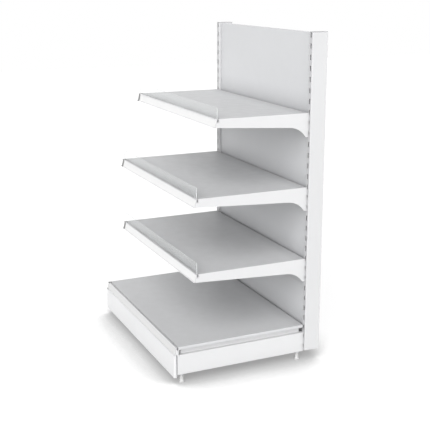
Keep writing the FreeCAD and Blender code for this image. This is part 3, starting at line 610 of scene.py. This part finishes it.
def clear_sheet(name):
    material, tree, shader = new_material(name)
    place = coordinates(tree)["Object"]
    smudge = spread(tree, noise(tree, place, SMUDGE_SIZE, detail=4.0), SMUDGE_ROUGHNESS, SMUDGE_NOISE)
    ripple = maths(tree, "MULTIPLY", noise(tree, place, RIPPLE_SIZE, detail=0.0), RIPPLE_HEIGHT)
    feed(tree, shader, {"Base Color": SHEET_TINT, "Roughness": smudge, "Transmission Weight": 1.0,
                        "IOR": SHEET_INDEX})
    relief(tree, shader, ripple)
    return material


def frost_edges(mesh, finish):
    """Faces that turn away from the sheet's own faces, with a small |n_y|, take the frosted finish."""
    normals = np.empty(3 * len(mesh.polygons))
    mesh.polygons.foreach_get("normal", normals)
    mesh.materials.append(finish)
    mesh.polygons.foreach_set("material_index", (np.abs(normals[1::3]) < POLISHED_SLOPE).astype(np.int32))


def fence_sheet(low, high):
    """Rounded rectangle through four corner arcs c + (r - d)(cos a, sin a), where d rounds the rim."""
    bend = np.linspace(0.0, math.pi / 2, CORNER_POINTS)
    angle = np.concatenate([bend + quarter * math.pi / 2 for quarter in range(4)])
    radius = np.repeat([FENCE_CORNER, FENCE_CORNER, FENCE_FOOT_CORNER, FENCE_FOOT_CORNER], bend.size)
    middle_x = np.where(np.repeat([1, 0, 0, 1], bend.size), high[0] - radius, low[0] + radius)
    middle_z = np.where(np.repeat([1, 1, 0, 0], bend.size), high[2] - radius, low[2] + radius)
    turn = np.linspace(0.0, math.pi / 2, RIM_RINGS)
    inset = np.concatenate([[2 * FENCE_RIM], FENCE_RIM * (1 - np.sin(turn))])
    rise = np.concatenate([[0.0], FENCE_RIM * (1 - np.cos(turn))])
    inset = np.concatenate([inset, inset[::-1]])[:, None]
    depth = np.concatenate([low[1] + rise, high[1] - rise[::-1]])[:, None]
    rings = np.stack([middle_x + (radius - inset) * np.cos(angle), depth + 0 * angle,
                      middle_z + (radius - inset) * np.sin(angle)], axis=-1)
    centres = rings.mean(axis=1, keepdims=True)[[0, -1]]
    front, back = np.repeat(centres, angle.size, axis=1)
    return np.concatenate([front[None], rings, back[None]])


acrylic = clear_sheet("clear_acrylic")
sawn_edge = moulded("sawn_edge", SAWN_WHITE, grain_size=0.0008, grain_height=0.00003, roughness=0.6)
for level in LEVELS:
    sheet = build_piece(f"{level}_fence_sheet", [fence_sheet(*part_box(f"{level}_fence"))], acrylic,
                        f"{level}_screen", f"{level}_fence")
    frost_edges(sheet, sawn_edge)


# Floor: a white studio floor with a soft shadow round the base, partly real and partly painted into its
# glow.
# Seen by the camera, or in a reflection, it glows enough to meet the white background without an edge.
# It has one grey for the light that it throws back, and another where it is seen.
WHITE = (1.0, 1.0, 1.0, 1.0)
FLOOR_HALF = 14.0
FLOOR_WHITE = 0.55
FLOOR_SEEN = 0.275
FLOOR_GLOW = 0.8
SHADOW_REACH = 0.4  # how near the part has to be to shade the floor
SHADOW_RAYS = 16
SHADOW_EDGE = 0.8  # share of open sky at which the shadow starts
SHADOW_FALL = 8.0  # power by which it deepens
SHADOW_LIGHT = 0.35  # share of the glow that is left under the part


def seen_directly(tree):
    """1 for rays from the camera, a reflection or a clear sheet, 0 for the rest."""
    path = put(tree, "ShaderNodeLightPath").outputs
    mirrored = maths(tree, "MAXIMUM", path["Is Glossy Ray"], path["Is Transmission Ray"])
    return maths(tree, "MAXIMUM", path["Is Camera Ray"], mirrored)


def studio_floor():
    mesh = bpy.data.meshes.new("floor")
    half = FLOOR_HALF
    corners = [(-half, -half, 0), (half, -half, 0), (half, half, 0), (-half, half, 0)]
    mesh.from_pydata(corners, [], [(0, 1, 2, 3)])
    floor = bpy.data.objects.new("floor", mesh)
    bpy.context.scene.collection.objects.link(floor)
    material, tree, shader = new_material("floor_white")
    seen = seen_directly(tree)
    # Painted shadow: the glow is dimmed where ambient occlusion finds the part near.
    occlusion = put(tree, "ShaderNodeAmbientOcclusion", {"Distance": SHADOW_REACH}, samples=SHADOW_RAYS)
    open_sky = spread(tree, occlusion.outputs["AO"], (0.0, 1.0), (0.0, SHADOW_EDGE))
    clear = maths(tree, "POWER", open_sky, SHADOW_FALL)
    glow = spread(tree, clear, (SHADOW_LIGHT * FLOOR_GLOW, FLOOR_GLOW))
    feed(tree, shader, {"Base Color": spread(tree, seen, (FLOOR_WHITE, FLOOR_SEEN)), "Roughness": 1.0,
                        "Specular IOR Level": 0.0, "Emission Color": WHITE,
                        "Emission Strength": maths(tree, "MULTIPLY", seen, glow)})
    mesh.materials.append(material)


studio_floor()


# Light: an even white room, brighter towards the horizon than overhead, so upright faces are the lightest.
# A broad soft lamp, to the right, in front and above, gives the near faces their edge.
HORIZON_LIGHT = 1.45
OVERHEAD_LIGHT = 0.15
FAR_SIDE = 0.8
NEAR_SIDE = 1.2
LAMP_TOWARDS = (-0.62, 0.57, -0.53)
LAMP_LIGHT = 0.92
LAMP_SPREAD = math.radians(60.0)


def soft_lamp():
    """A sun whose energy makes a white face square to it show LAMP_LIGHT."""
    lamp = bpy.data.lights.new("front_right_light", "SUN")
    lamp.energy = math.pi * LAMP_LIGHT
    lamp.angle = LAMP_SPREAD
    carrier = bpy.data.objects.new("front_right_light", lamp)
    carrier.rotation_mode = "QUATERNION"
    carrier.rotation_quaternion = Vector(LAMP_TOWARDS).to_track_quat("-Z", "Y")
    bpy.context.scene.collection.objects.link(carrier)


def white_room():
    """Lights the part unevenly, and shows plain white where the room itself is seen."""
    world = bpy.data.worlds.new("white_room")
    world.use_nodes = True
    tree = world.node_tree
    tree.nodes.clear()
    direction = coordinates(tree)["Generated"]
    by_height = spread(tree, part(tree, direction, "Z"), (HORIZON_LIGHT, OVERHEAD_LIGHT))
    by_side = spread(tree, part(tree, direction, "X"), (FAR_SIDE, NEAR_SIDE), (-1.0, 1.0))
    strength = maths(tree, "MULTIPLY", by_height, by_side)
    lighting = put(tree, "ShaderNodeBackground", {"Color": WHITE, "Strength": strength}).outputs[0]
    backdrop = put(tree, "ShaderNodeBackground", {"Color": WHITE, "Strength": 1.0}).outputs[0]
    mixed = put(tree, "ShaderNodeMixShader", {0: seen_directly(tree), 1: lighting, 2: backdrop})
    put(tree, "ShaderNodeOutputWorld", {"Surface": mixed.outputs[0]})
    bpy.context.scene.world = world


soft_lamp()
white_room()
bpy.context.scene.view_settings.view_transform = "Standard"


# Camera: a long lens to the right of the bay and in front of it, a little above its top, aimed down at it.
# A small shift of the lens straightens the uprights a little; a larger one would cut other views off.
# The lens and the sensor are in millimetres, and the shift is a share of the picture's width.
CAMERA_PLACE = (3.972, -1.754, 1.808)
CAMERA_YAW = math.radians(24.47)
CAMERA_PITCH = math.radians(14.16)
CAMERA_LENS = 73.77
CAMERA_SENSOR = 36.0
CAMERA_SHIFT = -0.03


def photo_camera():
    data = bpy.data.cameras.new("photo_camera")
    data.lens = CAMERA_LENS
    data.sensor_width = CAMERA_SENSOR
    data.shift_y = CAMERA_SHIFT
    camera = bpy.data.objects.new("photo_camera", data)
    level_step = math.cos(CAMERA_PITCH)
    forward = Vector((-math.cos(CAMERA_YAW) * level_step, math.sin(CAMERA_YAW) * level_step,
                      -math.sin(CAMERA_PITCH)))
    camera.location = CAMERA_PLACE
    camera.rotation_mode = "QUATERNION"
    camera.rotation_quaternion = forward.to_track_quat("-Z", "Y")
    bpy.context.scene.collection.objects.link(camera)
    bpy.context.scene.camera = camera


photo_camera()
